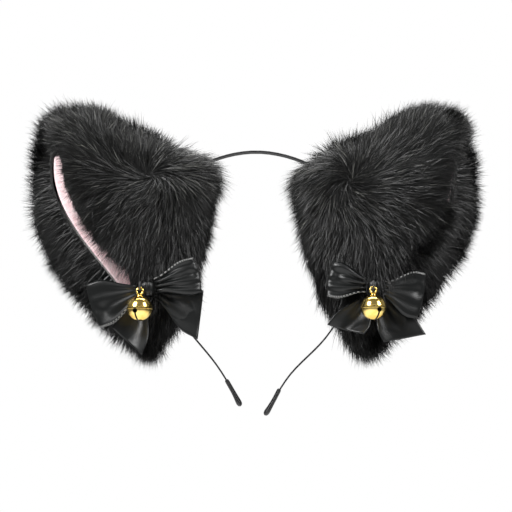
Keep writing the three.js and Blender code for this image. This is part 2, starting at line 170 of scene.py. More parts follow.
def finish_piece(piece, body, slot, *stands_for):
    """Says which body the piece moves with and the CAD nodes it is shown for; its finish, slot, is not
    used.
    """
    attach(piece, body)
    if stands_for:
        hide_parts(*stands_for)


def shade_smooth(mesh, angle=math.radians(35)):
    """Smooth shading, with edges sharper than the angle kept crisp."""
    mesh.shade_smooth()
    mesh.set_sharp_from_angle(angle=angle)


def coated_steel():
    material, shader, n, links = plain_material("black coated steel", (0.02, 0.02, 0.021), 0.32, 0.6)
    place = n.new("ShaderNodeTexCoord")
    fine = shader_node(n, "TexNoise", Scale=900, Detail=3)
    tone = tone_ramp(n, 0.35, (0.012, 0.012, 0.013), 0.75, (0.05, 0.05, 0.052))
    rough = shader_node(n, "MapRange", To_Min=0.26, To_Max=0.42)
    links.new(place.outputs["Object"], fine.inputs["Vector"])
    links.new(fine.outputs["Fac"], tone.inputs["Fac"])
    links.new(tone.outputs["Color"], shader.inputs["Base Color"])
    links.new(fine.outputs["Fac"], rough.inputs["Value"])
    links.new(rough.outputs["Result"], shader.inputs["Roughness"])
    return material


STEEL = coated_steel()
CORNER_ANGLE = math.radians(60)
CORNER_ROUNDING = 0.00018
strip = welded_copy("spring_strip", "headband")
bm = bmesh.new()
bm.from_mesh(strip.data)
bmesh.ops.dissolve_limit(bm, angle_limit=math.radians(0.5), verts=bm.verts, edges=bm.edges)
corner_edges = [e for e in bm.edges if e.calc_face_angle(0) > CORNER_ANGLE]
bmesh.ops.bevel(bm, geom=corner_edges, offset=CORNER_ROUNDING, segments=2, affect="EDGES", profile=0.5,
                material=-1)
bm.to_mesh(strip.data)
bm.free()
strip.data.materials.append(STEEL)
shade_smooth(strip.data)
finish_piece(strip, "ears_band", "steel", "headband")

# ---- Rubber tips ----
# A dipped rubber boot covers each end of the strip: slim and rounded at its neck, and swelling to a
# smooth bulb that keeps the steel off the skin behind the ears.


def rubber():
    material, shader, n, links = plain_material("black rubber", (0.008, 0.008, 0.009), 0.38)
    place = n.new("ShaderNodeTexCoord")
    mottle = shader_node(n, "TexNoise", Scale=450, Detail=4)
    rough = shader_node(n, "MapRange", To_Min=0.28, To_Max=0.5)
    skin = shader_node(n, "Bump", Strength=0.15, Distance=0.0001)
    links.new(place.outputs["Object"], mottle.inputs["Vector"])
    links.new(mottle.outputs["Fac"], rough.inputs["Value"])
    links.new(rough.outputs["Result"], shader.inputs["Roughness"])
    links.new(mottle.outputs["Fac"], skin.inputs["Height"])
    links.new(skin.outputs["Normal"], shader.inputs["Normal"])
    return material


RUBBER = rubber()
TIP_RINGS = (  # share of the length, half thickness and half width in metres
    (0.0, 0.00055, 0.0027), (0.012, 0.0008, 0.0029), (0.04, 0.00102, 0.0031), (0.09, 0.00108, 0.0031),
    (0.3, 0.00108, 0.0030), (0.5, 0.00112, 0.0031), (0.7, 0.00128, 0.0033), (0.82, 0.00142, 0.0034),
    (0.89, 0.00142, 0.0034), (0.945, 0.00122, 0.0031), (0.98, 0.00084, 0.0025), (1.0, 0.0003, 0.0014),
)


def spine_of(node, count=24):
    """Points down the middle of a CAD node that follows the band, from its crown end to its free end."""
    co = np.array([v.co for v in nodes[node].data.vertices])[:, [0, 2]]
    middle = co.mean(0)
    run = np.linalg.svd(co - middle, full_matrices=False)[2][0]
    if run[1] > 0:
        run = -run
    aside = np.array([-run[1], run[0]])
    along = (co - middle) @ run
    bend = np.polyfit(along, (co - middle) @ aside, 2)
    marks = np.linspace(along.min(), along.max(), count)[:, None]
    return middle + marks * run + np.polyval(bend, marks) * aside


def ring_at(bm, place, run, thick, wide, around=20):
    """A rounded oval ring across the band at a place in its XZ plane."""
    across = Vector((-run[1], 0, run[0]))
    frame_there = Matrix((
        (across.x * thick, 0, run[0], place[0]),
        (0, wide, 0, 0),
        (across.z * thick, 0, run[1], place[1]),
        (0, 0, 0, 1),
    ))
    ring = bmesh.ops.create_circle(bm, cap_ends=False, radius=1, segments=around, matrix=frame_there)
    return ring["verts"]


def bridged_rings(bm, rings):
    """Walls of faces from each ring to the next."""
    for first, second in zip(rings, rings[1:]):
        loops = list({e for v in first for e in v.link_edges if e.other_vert(v) in first})
        loops += list({e for v in second for e in v.link_edges if e.other_vert(v) in second})
        bmesh.ops.bridge_loops(bm, edges=loops)


def linked_mesh(name, bm, material, angle=math.radians(40)):
    """The finished bmesh as an object in the scene."""
    mesh = bpy.data.meshes.new(name)
    bm.to_mesh(mesh)
    bm.free()
    mesh.materials.append(material)
    shade_smooth(mesh, angle)
    piece = bpy.data.objects.new(name, mesh)
    bpy.context.collection.objects.link(piece)
    return piece


for side in SIDES:
    line = spine_of(f"band_tip_{side}")
    bm = bmesh.new()
    rings = []
    for share, thick, wide in TIP_RINGS:
        at = share * (len(line) - 1)
        k = min(int(at), len(line) - 2)
        place = line[k] + (line[k + 1] - line[k]) * (at - k)
        run = line[min(k + 2, len(line) - 1)] - line[max(k - 1, 0)]
        rings.append(ring_at(bm, place, run / np.linalg.norm(run), thick, wide))
    bridged_rings(bm, rings)
    for end in (rings[0], rings[-1]):
        bmesh.ops.contextual_create(bm, geom=end)
    bmesh.ops.recalc_face_normals(bm, faces=bm.faces)
    tip = linked_mesh(f"rubber_tip_{side}", bm, RUBBER, math.radians(50))
    finish_piece(tip, "ears_band", "rubber", f"band_tip_{side}")

# ---- Felt sleeves and seat pads ----
# A black needle-felt sleeve is sewn round the strip inside each ear, with a crowned felt pad glued
# to its front, so that the ear's back can be stitched to it.


def rounded_copy(name, node, material, levels=1, angle=math.radians(180)):
    """The CAD node's shape, joined, made all quads where it can be, and rounded by subdivision."""
    piece = welded_copy(name, node)
    bm = bmesh.new()
    bm.from_mesh(piece.data)
    bmesh.ops.join_triangles(
        bm, faces=bm.faces, angle_face_threshold=math.radians(50), angle_shape_threshold=math.radians(60)
    )
    bm.to_mesh(piece.data)
    bm.free()
    piece.data.materials.append(material)
    shade_smooth(piece.data, angle)
    rounding = piece.modifiers.new("rounding", "SUBSURF")
    rounding.levels = levels
    rounding.render_levels = levels
    return piece


def matt_finish(name, dark, light):
    """A dull surface, finely mottled between two tones and slightly fuzzy."""
    material, shader, n, links = plain_material(name, dark, 0.95)
    shader.inputs["Sheen Weight"].default_value = 0.35
    shader.inputs["Sheen Roughness"].default_value = 0.5
    place = n.new("ShaderNodeTexCoord")
    fibres = shader_node(n, "TexNoise", Scale=1400, Detail=6, Distortion=2.5)
    tone = tone_ramp(n, 0.4, dark, 0.68, light)
    fuzz = shader_node(n, "Bump", Strength=0.6, Distance=0.0003)
    links.new(place.outputs["Object"], fibres.inputs["Vector"])
    links.new(fibres.outputs["Fac"], tone.inputs["Fac"])
    links.new(tone.outputs["Color"], shader.inputs["Base Color"])
    links.new(fibres.outputs["Fac"], fuzz.inputs["Height"])
    links.new(fuzz.outputs["Normal"], shader.inputs["Normal"])
    return material


BLACK_FELT = matt_finish("black needle felt", (0.006, 0.006, 0.006), (0.035, 0.035, 0.036))
for side in SIDES:
    for part, made in (("band_sleeve", "felt_sleeve"), ("seat_pad", "felt_seat")):
        piece = rounded_copy(f"{made}_{side}", f"ear_{side}_{part}", BLACK_FELT)
        finish_piece(piece, "ears_band", "felt", f"ear_{side}_{part}")

# ---- Ear stiffeners and wadding ----
# A moulded board of stiff felt holds each ear's front open, and the back is filled with loose white
# polyester wadding, tucked between the fur and the pocket of the lining.
WADDING = matt_finish("white wadding", (0.62, 0.61, 0.59), (0.86, 0.86, 0.84))
for side in SIDES:
    board = rounded_copy(f"felt_stiffener_{side}", f"ear_{side}_stiffener", BLACK_FELT)
    finish_piece(board, "ears_band", "felt", f"ear_{side}_stiffener")
    filling = rounded_copy(f"wadding_{side}", f"ear_{side}_wadding", WADDING, levels=2)
    finish_piece(filling, "ears_band", "wadding", f"ear_{side}_wadding")

# ---- Ear covers: backing cloth ----
# Long-pile fur fabric, cut as a front and a back panel, sewn at the head side and turned in at the
# slit. Its knitted backing and the dense underfur on it are dull black.
UNDERFUR = matt_finish("black underfur", (0.002, 0.002, 0.002), (0.012, 0.012, 0.011))
for side in SIDES:
    for panel in ("front", "rear"):
        cover = rounded_copy(f"fur_backing_{panel}_{side}", f"ear_{side}_fur_{panel}", UNDERFUR)
        finish_piece(cover, "ears_band", "fur", f"ear_{side}_fur_{panel}")

# ---- Ear linings ----
# Pale pink short plush lines the slit: one piece behind the front lip and one that dips from the
# back lip into the ear like a pocket. Its pile is about 2 mm long and stands in soft tufts.


def plush(name):
    material, shader, n, links = plain_material(name, (0.95, 0.72, 0.75), 0.9)
    shader.inputs["Sheen Weight"].default_value = 0.5
    shader.inputs["Sheen Roughness"].default_value = 0.45
    shader.inputs["Sheen Tint"].default_value = (1, 0.9, 0.92, 1)
    place = n.new("ShaderNodeTexCoord")
    tufts = shader_node(n, "TexNoise", Scale=420, Detail=5, Distortion=1.5)
    tone = tone_ramp(n, 0.32, (0.90, 0.60, 0.63), 0.62, (0.98, 0.80, 0.81))
    pile = shader_node(n, "Bump", Strength=0.7, Distance=0.0005)
    links.new(place.outputs["Object"], tufts.inputs["Vector"])
    links.new(tufts.outputs["Fac"], tone.inputs["Fac"])
    links.new(tone.outputs["Color"], shader.inputs["Base Color"])
    links.new(tufts.outputs["Fac"], pile.inputs["Height"])
    links.new(pile.outputs["Normal"], shader.inputs["Normal"])
    return material


PLUSH = plush("pale pink plush")
for side in SIDES:
    for part in ("front", "rear"):
        lining = rounded_copy(f"plush_lining_{part}_{side}", f"ear_{side}_lining_{part}", PLUSH, levels=2)
        finish_piece(lining, "ears_band", "plush", f"ear_{side}_lining_{part}")

# ---- Fur pile ----
# Straight acrylic guard hairs, about 15 mm long, are knitted into the backing. They are combed away
# from a whorl high on each ear's front, lie down to the tip and gather in pointed locks.
HAIR_WIDTH = 0.00026
HAIR_LENGTH = 0.0155
HAIRS = 27500  # in each quarter of the two ears' fronts and backs
LENGTH_SPREAD = (0.72, 1.15)
WIDTH_SPREAD = (0.7, 1.2)
GATHER_SPREAD = (0.35, 0.9)  # how far the hairs' points are drawn to the middle of their lock
LIFT = (23, 9)  # degrees off the skin: the usual lift and its spread
SHADE_SPREAD = (1.5, 3.2)
OUTWARD = {"left": -1, "right": 1}  # the way in X that each ear's rim faces
PILES_MEET_AT = -0.036  # the level between the upper and the lower piles
CORE_LEVELS = (-0.085, -0.012)  # the ear's inner line, from which its outside faces away
LOOKS_AWAY = -0.05
random = np.random.default_rng(1207)


def outer_skin(node, centre_x, centre_y):
    """Corner points and corner normals of the faces of a CAD wall that look away from the ear's middle."""
    mesh = nodes[node].data
    bm = bmesh.new()
    bm.from_mesh(mesh)
    bmesh.ops.remove_doubles(bm, verts=bm.verts, dist=WELD)
    bmesh.ops.triangulate(bm, faces=bm.faces)
    away = []
    low_core, high_core = CORE_LEVELS
    for f in bm.faces:
        c = f.calc_center_median()
        level = min(max(c.z, low_core), high_core)
        outward = c - Vector((np.interp(level, *centre_x), centre_y, level))
        away.append(f.normal.dot(outward.normalized()) > LOOKS_AWAY)
    kept = [f for f, keep in zip(bm.faces, away) if keep]
    corner_normals = {}
    for f in kept:
        for v in f.verts:
            corner_normals[v] = corner_normals.get(v, Vector()) + f.normal * f.calc_area()
    points = np.array([[v.co for v in f.verts] for f in kept])
    normals = np.array([[corner_normals[v].normalized() for v in f.verts] for f in kept])
    bm.free()
    return points, normals


WAIST_LEVEL = -0.0241  # the walls' corners lie in level rows under this
RIDGE_LEVEL_FROM = 0.0825  # and past this distance from the middle of the head
SAME_LEVEL = 2e-5
SEAM_MARGIN = 0.0005


def middle_line(side):
    """The ear's middle in X at each of the levels where the CAD wall has its corners."""
    co = np.array([v.co for p in ("front", "rear") for v in nodes[f"ear_{side}_fur_{p}"].data.vertices])
    co = co[co[:, 2] < WAIST_LEVEL]
    levels = np.unique(np.round(co[:, 2], 5))
    rows = [co[np.abs(co[:, 2] - z) < SAME_LEVEL][:, 0] for z in levels]
    return levels, np.array([(row.min() + row.max()) / 2 for row in rows])


def lip_line(side, panel, mid_y):
    """The panel's edge at the slit, as an outward X at each level."""
    sign = OUTWARD[side]
    co = np.array([v.co for v in nodes[f"ear_{side}_fur_{panel}"].data.vertices])
    if panel == "rear":
        co = co[co[:, 1] < mid_y - SEAM_MARGIN]
    co = co[(co[:, 2] < WAIST_LEVEL) | (sign * co[:, 0] > RIDGE_LEVEL_FROM)]
    levels = np.unique(np.round(co[:, 2], 5))
    pick = np.max if panel == "front" else np.min
    edge = [pick(sign * co[np.abs(co[:, 2] - z) < SAME_LEVEL][:, 0]) for z in levels]
    return levels, np.array(edge)


def scattered_roots(points, normals, count):
    """Random places on the skin, even over its area, with its smooth normal there."""
    area = np.linalg.norm(np.cross(points[:, 1] - points[:, 0], points[:, 2] - points[:, 0]), axis=1)
    pick = random.choice(len(area), count, p=area / area.sum())
    a, b = random.random((2, count))
    turned = a + b > 1
    a[turned], b[turned] = 1 - a[turned], 1 - b[turned]
    share = np.stack([1 - a - b, a, b], axis=1)[:, :, None]
    place = (points[pick] * share).sum(1)
    normal = (normals[pick] * share).sum(1)
    return place, normal / np.linalg.norm(normal, axis=1, keepdims=True)


def unit(rows):
    return rows / np.maximum(np.linalg.norm(rows, axis=1, keepdims=True), 1e-9)


def window(x, low, high):
    """0 under low, 1 over high, smooth between them."""
    t = np.clip((x - low) / (high - low), 0, 1)
    return t * t * (3 - 2 * t)


def drift(place, waves):
    """A slow sideways wander of the comb, so that neighbouring hairs lean the same way."""
    lean = np.zeros_like(place)
    for direction, run, phase in waves:
        lean += direction * np.sin(place @ run + phase)[:, None]
    return lean / math.sqrt(len(waves))


def drift_waves(count, lengths):
    run = unit(random.normal(size=(count, 3))) * (2 * math.pi / random.uniform(*lengths, (count, 1)))
    return list(zip(unit(random.normal(size=(count, 3))), run, random.uniform(0, 6.3, count)))


def nearest_lock(place, spacing):
    """For each hair, the root of the lock that it gathers in."""
    cells = np.floor(place / spacing + random.random((len(place), 3)) * 0.7).astype(np.int64)
    keys = cells @ np.array([73856093, 19349663, 83492791])
    _, first, inverse = np.unique(keys, return_index=True, return_inverse=True)
    return first[inverse]


HAIR_STEPS = np.array([0.0, 0.34, 0.68, 1.0])  # three pairs of points up the hair, then its tip
HAIR_POINTS = 7
HAIR_QUADS = np.array([[0, 1, 3, 2], [2, 3, 5, 4]])
HAIR_TIP = np.array([4, 5, 6])
CORNER_STEPS = [0, 0, 1, 1, 1, 1, 2, 2, 2, 2, 3]
CORNER_SIDES = np.array([-1, 1, 1, -1, -1, 1, 1, -1, -1, 1, 0])
MAP_HALF_WIDTH = 0.0012
MAP_MARGIN = (0.004, 0.01)


def strand_mesh(name, points, shade, material):
    """Every hair's two quads and tip in one mesh, with a map of shade across and root to tip along."""
    count = len(shade)
    mesh = bpy.data.meshes.new(name)
    mesh.vertices.add(len(points))
    mesh.vertices.foreach_set("co", points.astype(np.float32).ravel())
    base = (np.arange(count) * HAIR_POINTS)[:, None]
    quads = base[:, :, None] + HAIR_QUADS
    corners = np.concatenate([quads.reshape(count, HAIR_QUADS.size), base + HAIR_TIP], axis=1)
    mesh.loops.add(corners.size)
    mesh.loops.foreach_set("vertex_index", corners.astype(np.int32).ravel())
    mesh.polygons.add(count * 3)
    starts = (np.arange(count) * len(CORNER_STEPS))[:, None] + np.array([[0, 4, 8]])
    mesh.polygons.foreach_set("loop_start", starts.astype(np.int32).ravel())
    mesh.update(calc_edges=True)
    mesh.shade_smooth()
    shade_margin, length_margin = MAP_MARGIN
    u = shade_margin + (1 - 2 * shade_margin) * shade[:, None] + CORNER_SIDES * MAP_HALF_WIDTH
    v = length_margin + (1 - 2 * length_margin) * HAIR_STEPS[CORNER_STEPS]
    uv = np.stack([u, np.broadcast_to(v, u.shape)], axis=2)
    mesh.uv_layers.new(name="OFBake")
    mesh.uv_layers["OFBake"].data.foreach_set("uv", uv.astype(np.float32).ravel())
    mesh.materials.append(material)
    hairs = bpy.data.objects.new(name, mesh)
    bpy.context.collection.objects.link(hairs)
    return hairs


ROOT_DEPTH = 0.0004
LOCK_SPACING = 0.0042
LAID_DOWN = 0.30  # how far a lifted hair bends back to the skin, as a share of its lift
SAG = np.array([0, 0, -0.06])
STRAY = 0.22  # how far single hairs turn from the comb
TWIST = 0.5
CURL = 0.02
TAPER = 0.45
SHORN_AT = 0.0228  # no hair over an ear's crown stands higher than this
SHORTEST = 0.2


def hair_ribbons(name, root, normal, comb, length, lift, width, gather, shade, material):
    """Tapered flat hairs: three steps and a point, each a strip that faces away from the skin."""
    count = len(root)
    comb = unit(comb - normal * (comb * normal).sum(1, keepdims=True))
    wander = random.normal(size=(count, 3))
    comb = unit(comb + STRAY * (wander - normal * (wander * normal).sum(1, keepdims=True)))
    start = comb * np.cos(lift)[:, None] + normal * np.sin(lift)[:, None]
    lay = -normal * (LAID_DOWN * np.sin(lift))[:, None] + SAG
    lock = nearest_lock(root, LOCK_SPACING)
    tip_pull = (root[lock] - root) * gather
    climb = (length[:, None] * (start + lay) + tip_pull)[:, 2]
    length = length * np.clip((SHORN_AT - root[:, 2]) / np.maximum(climb, 1e-5), SHORTEST, 1)
    across = unit(np.cross(start, normal))
    twist = random.normal(0, TWIST, count)
    across = unit(across * np.cos(twist)[:, None] + normal * np.sin(twist)[:, None])
    rows = []
    for t in HAIR_STEPS:
        curl = CURL * np.sin(5 * t + wander[:, :1] * 3) * across
        spine = root - normal * ROOT_DEPTH + length[:, None] * (start * t + lay * t * t + curl * t)
        spine = spine + tip_pull * t ** 1.5
        half = across * (width * (1 - TAPER * t) / 2)[:, None]
        rows += [spine] if t == 1 else [spine - half, spine + half]
    return strand_mesh(name, np.stack(rows, axis=1).reshape(-1, 3), shade, material)


def guard_hair(name, root_shade, stops, roughness):
    """Hair from its own map: the shade of the hair across it, and along it a painted shade, darker towards
    the root.
    """
    material, shader, n, links = plain_material(name, stops[0][1], roughness)
    shader.inputs["Specular IOR Level"].default_value = 0.28
    strand = n.new("ShaderNodeUVMap")
    strand.uv_map = "OFBake"
    split = n.new("ShaderNodeSeparateXYZ")
    tone = n.new("ShaderNodeValToRGB")
    ramp = tone.color_ramp
    ramp.elements[0].position, ramp.elements[0].color = stops[0][0], (*stops[0][1], 1)
    ramp.elements[1].position, ramp.elements[1].color = stops[-1][0], (*stops[-1][1], 1)
    for position, color in stops[1:-1]:
        ramp.elements.new(position).color = (*color, 1)
    # painted shade: each hair is darkened towards its root, where the pile around it lies in shade
    shadow = shader_node(n, "MapRange", From_Max=0.7, To_Min=root_shade, To_Max=1)
    shaded = n.new("ShaderNodeMix")
    shaded.data_type = "RGBA"
    shaded.blend_type = "MULTIPLY"
    shaded.inputs["Factor"].default_value = 1
    links.new(strand.outputs["UV"], split.inputs["Vector"])
    links.new(split.outputs["X"], tone.inputs["Fac"])
    links.new(split.outputs["Y"], shadow.inputs["Value"])
    links.new(tone.outputs["Color"], shaded.inputs[6])
    links.new(shadow.outputs["Result"], shaded.inputs[7])
    links.new(shaded.outputs[2], shader.inputs["Base Color"])
    return material


# The ramp's light grey top end is partly a random tone of the hairs and partly painted glints on the glossy
# hair.
BLACK_HAIR = guard_hair("black guard hair", 0.35, (
    (0.0, (0.0008, 0.0008, 0.0008)), (0.45, (0.002, 0.002, 0.0019)), (0.72, (0.018, 0.018, 0.0165)),
    (1.0, (0.24, 0.24, 0.22)),
), 0.36)

# The comb: how far it leans each way, and the heights or distances that the lean grows over.
WHORL = {"left": (-0.051, -0.020), "right": (0.045, -0.022)}
SWIRL = 0.9  # radians that the hairs turn at the whorl
SWIRL_REACH = 0.03
SWIRL_FAR = 0.2
DOWNWARD, DOWN_OVER = 0.35, (0.0, 0.05)
UPWARD, UP_OVER = 0.45, (-0.014, 0.004)
BACKWARD, BACK_OVER = 0.5, (0.015, 0.035)
DRIFT_SHARE = 0.8
DRIFT_WAVES, DRIFT_LENGTHS = 12, (0.013, 0.05)
DRIFT = {side: drift_waves(DRIFT_WAVES, DRIFT_LENGTHS) for side in SIDES}


def combed(root, side, middles):
    """The pile's lie: round the whorl and out from it, up at the crown, then down, and back by the head."""
    x, z = root[:, 0], root[:, 2]
    sign = OUTWARD[side]
    whorl_x, whorl_z = WHORL[side]
    away = np.stack([x - whorl_x, np.zeros(len(x)), z - whorl_z], axis=1)
    turned = np.stack([-away[:, 2], away[:, 1], away[:, 0]], axis=1)
    swirl = SWIRL * (1 - window(np.linalg.norm(away, axis=1), 0.0, SWIRL_REACH)) + SWIRL_FAR
    comb = unit(away * np.cos(swirl)[:, None] + sign * turned * np.sin(swirl)[:, None])
    comb[:, 2] -= DOWNWARD * window(-z, *DOWN_OVER)
    comb[:, 2] += UPWARD * window(z, *UP_OVER)
    comb[:, 1] += BACKWARD * window(sign * (np.interp(z, *middles) - x), *BACK_OVER)
    return comb + DRIFT_SHARE * drift(root, DRIFT[side])


# The slit's lips: hairs there are cut to a share of their length and laid aside.
SLIT_TRIM = {"left": 0.22, "right": 0.5}
SLIT_REACH = (0.002, 0.014)
SLIT_SHOWS_FROM = (0.0, 0.006)  # under the crown
SLIT_SHOWS_TO = {"left": (0.072, 0.080), "right": (0.024, 0.036)}
FRONT_LIP_COMB = np.array([-0.3, 0, -1.4])
REAR_LIP_COMB = np.array([1.6, 0.4, -0.8])
REAR_LIP_EDGE = (0.0, 0.003)
REAR_LIP_DOWN = (0.012, 0.05)
RIM_TRIM = 0.3  # the rear lip's hairs are cut by only this share of the front lip's cut


def parted(comb, root, side, panel, lip, mid_y):
    """Lays the comb aside at the slit, and gives how far each hair is trimmed there, from 0 to 1."""
    x, y, z = root.T
    sign = OUTWARD[side]
    to_lip = np.abs(sign * x - np.interp(z, *lip))
    facing = y < mid_y if panel == "rear" else np.ones(len(x), bool)
    opened = window(-z, *SLIT_SHOWS_FROM) * (1 - window(-z, *SLIT_SHOWS_TO[side])) * facing
    trimmed = (1 - window(to_lip, *SLIT_REACH)) * opened
    if panel == "front":
        comb += trimmed[:, None] * FRONT_LIP_COMB * (sign, 1, 1)
        return trimmed
    comb[:, 0] += REAR_LIP_COMB[0] * sign * opened
    comb[:, 1] += REAR_LIP_COMB[1] * opened * window(to_lip, *REAR_LIP_EDGE)
    comb[:, 2] += REAR_LIP_COMB[2] * opened * window(-z, *REAR_LIP_DOWN)
    return trimmed * RIM_TRIM


# Zones of the ear: the levels that each lies between, then the distances from the whorl.
INNER_CORNER = ((-0.022, -0.006), (0.006, 0.018))
OUTER_CORNER = ((-0.010, 0.004), (0.012, 0.03))
HEAD_SIDE = ((0.012, 0.03), (0.012, 0.024))
RIM_FACES, RIM_OVER = (0.45, 0.95), (-0.06, -0.03)
KNOT_COVER = 0.010  # how far round the place over the knot the hairs stand out to fall over it
ABOVE_KNOT = 0.014
SHEEN_REACH = 0.022  # near each whorl a painted sheen lightens the pile
SHEEN_OFF = (0.006, 0.010)
DARKER_BELOW = (0.03, 0.07)
# What the zones do to the hairs in them.
RAISED = {"inner corner": 14, "outer corner": 10, "rim": 20, "slit": -8, "over knot": 17}  # degrees
# The whorl's brightening is a painted sheen on the pile.
BRIGHTER = {"inner corner": 0.15, "outer corner": 0.12, "whorl": 0.12}
FANNED = {"inner corner": 0.5, "outer corner": 0.2}
FANNED_SHARE = 0.5  # of the hairs at the corners stand longer than the rest
SHORTER_AT_HEAD = 0.3
LONGER_OVER_KNOT = 0.25
OVER_KNOT_COMB = 1.5
LOW_PAINTED_SHADE = 0.3


def near(x, z, place, reach):
    """1 at a place on the ear, falling to 0 past the reach."""
    return np.exp(-((x - place[0]) ** 2 + (z - place[1]) ** 2) / reach ** 2)


def zones_of(root, normal, side):
    """How much of each root lies in each of the ear's zones, from 0 to 1."""
    x, z = root[:, 0], root[:, 2]
    sign = OUTWARD[side]
    whorl_x, whorl_z = WHORL[side]
    to_head = sign * (whorl_x - x)
    low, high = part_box(f"bow_{side}_knot")
    above_knot = ((low[0] + high[0]) / 2, (low[2] + high[2]) / 2 + ABOVE_KNOT)
    brightest = (whorl_x - sign * SHEEN_OFF[0], whorl_z + SHEEN_OFF[1])
    return {
        "inner corner": window(z, *INNER_CORNER[0]) * window(to_head, *INNER_CORNER[1]),
        "outer corner": window(z, *OUTER_CORNER[0]) * window(-to_head, *OUTER_CORNER[1]),
        "head side": window(-z, *HEAD_SIDE[0]) * window(to_head, *HEAD_SIDE[1]),
        "rim": window(sign * normal[:, 0], *RIM_FACES) * window(z, *RIM_OVER),
        "over knot": near(x, z, above_knot, KNOT_COVER),
        "whorl": near(x, z, brightest, SHEEN_REACH),
        "tip": window(-z, *DARKER_BELOW),
    }


def weighed(weights, zones):
    """The zones' shares at each root, each times its weight, added up."""
    return sum(weight * zones[name] for name, weight in weights.items())


for side in SIDES:
    middles = middle_line(side)
    mid_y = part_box(f"ear_{side}_fur_front")[1][1]
    for panel in ("front", "rear"):
        skin, skin_normals = outer_skin(f"ear_{side}_fur_{panel}", middles, mid_y)
        lip = lip_line(side, panel, mid_y)
        upper = skin[:, :, 2].mean(1) > PILES_MEET_AT
        for half, chosen in (("upper", upper), ("lower", ~upper)):
            root, normal = scattered_roots(skin[chosen], skin_normals[chosen], HAIRS)
            zones = zones_of(root, normal, side)
            comb = combed(root, side, middles)
            zones["slit"] = parted(comb, root, side, panel, lip, mid_y)
            comb[:, 2] -= OVER_KNOT_COMB * zones["over knot"]

            length = HAIR_LENGTH * random.uniform(*LENGTH_SPREAD, HAIRS)
            length *= 1 - (1 - SLIT_TRIM[side]) * zones["slit"]
            length *= 1 + (random.random(HAIRS) < FANNED_SHARE) * weighed(FANNED, zones)
            length *= 1 - SHORTER_AT_HEAD * zones["head side"]
            length *= 1 + LONGER_OVER_KNOT * zones["over knot"]
            lift = np.radians(random.normal(*LIFT, HAIRS) + weighed(RAISED, zones))
            shade = random.beta(*SHADE_SPREAD, HAIRS) + weighed(BRIGHTER, zones)
            # painted shade: the hairs are darker towards the bottom of the ear
            shade = np.clip(shade * (1 - LOW_PAINTED_SHADE * zones["tip"]), 0, 1)
            width = HAIR_WIDTH * random.uniform(*WIDTH_SPREAD, HAIRS)
            gather = random.uniform(*GATHER_SPREAD, (HAIRS, 1))
            name = f"fur_pile_{panel}_{half}_{side}"
            hairs = hair_ribbons(name, root, normal, comb, length, lift, width, gather, shade, BLACK_HAIR)
            finish_piece(hairs, "ears_band", "fur", f"ear_{side}_fur_{panel}")

# ---- Satin bows ----
# Each bow is black double-faced satin ribbon, about 22 mm wide, with a corded picot edge: two loops,
# two slanting tails and a knot that gathers them, stitched through the fur into the stiffener.
RIBBON_THICKNESS = 0.00035
RIBBON_AROUND = 48
RIBBON_ACROSS = 20
LOOP_SEAM = 0.0006
LOOP_FORWARD = 0.0009
TAIL_BACK = 0.0032
TAIL_NARROW = 0.0024
TAIL_EXTRA = 0.0015
TAIL_LEAN = 0.0012
TAIL_WAVE = 0.0006
TAIL_PLEATS = 0.0004
BOW_KNOT_BACK = 0.0005
KNOT_START = 0.0040  # where a loop or tail leaves the knot
KNOT_NARROW = 0.0034  # half the gathered width there
SPREAD_BY = 0.8  # the share of the length by which a loop or tail is at its full width
FOLD_WAVES = 3.4 * math.pi
SWAY = 0.35
DENT_SPREAD = (0.07, 0.28)
LOOP_BOW = 0.0011  # how far the loop's corners fall short of its middle
TAIL_PICOT = 0.95  # under PICOT_EDGE, so the tails have no corded edge
KNOT_CREASE = 0.05
KNOT_PINCH = 0.10
KNOT_SQUARENESS = 3
KNOT_WIDTH_SHARE = 0.98
PICOTS = 34
PICOT_EDGE = 0.962  # the share of the width where the corded edge starts
LOOPS = {  # reach in X and Z, half width, puff, depth of the folds, place and depth of a dent
    ("left", "outer"): ((-0.0265, -0.009), 0.011, 0.0017, 0.0003, (0.26, 0.35, 0.0011)),
    ("left", "inner"): ((0.0245, 0.0065), 0.0085, 0.0023, 0.0011, (0.26, 0.25, 0.0010)),
    ("right", "outer"): ((0.023, -0.0045), 0.011, 0.0023, 0.0004, (0.30, 0.2, 0.0008)),
    ("right", "inner"): ((-0.022, 0.004), 0.0085, 0.0023, 0.0012, (0.24, -0.2, 0.0012)),
}
TAILS = {  # reach in X and Z, half width, curl, slant of the cut end
    ("left", "outer"): ((-0.009, -0.024), 0.009, 0.0011, 0.0035),
    ("left", "inner"): ((0.024, -0.012), 0.011, 0.0008, -0.0040),
    ("right", "outer"): ((0.0135, -0.023), 0.0095, 0.0009, 0.0035),
    ("right", "inner"): ((-0.013, -0.019), 0.0085, 0.0021, -0.0030),
}


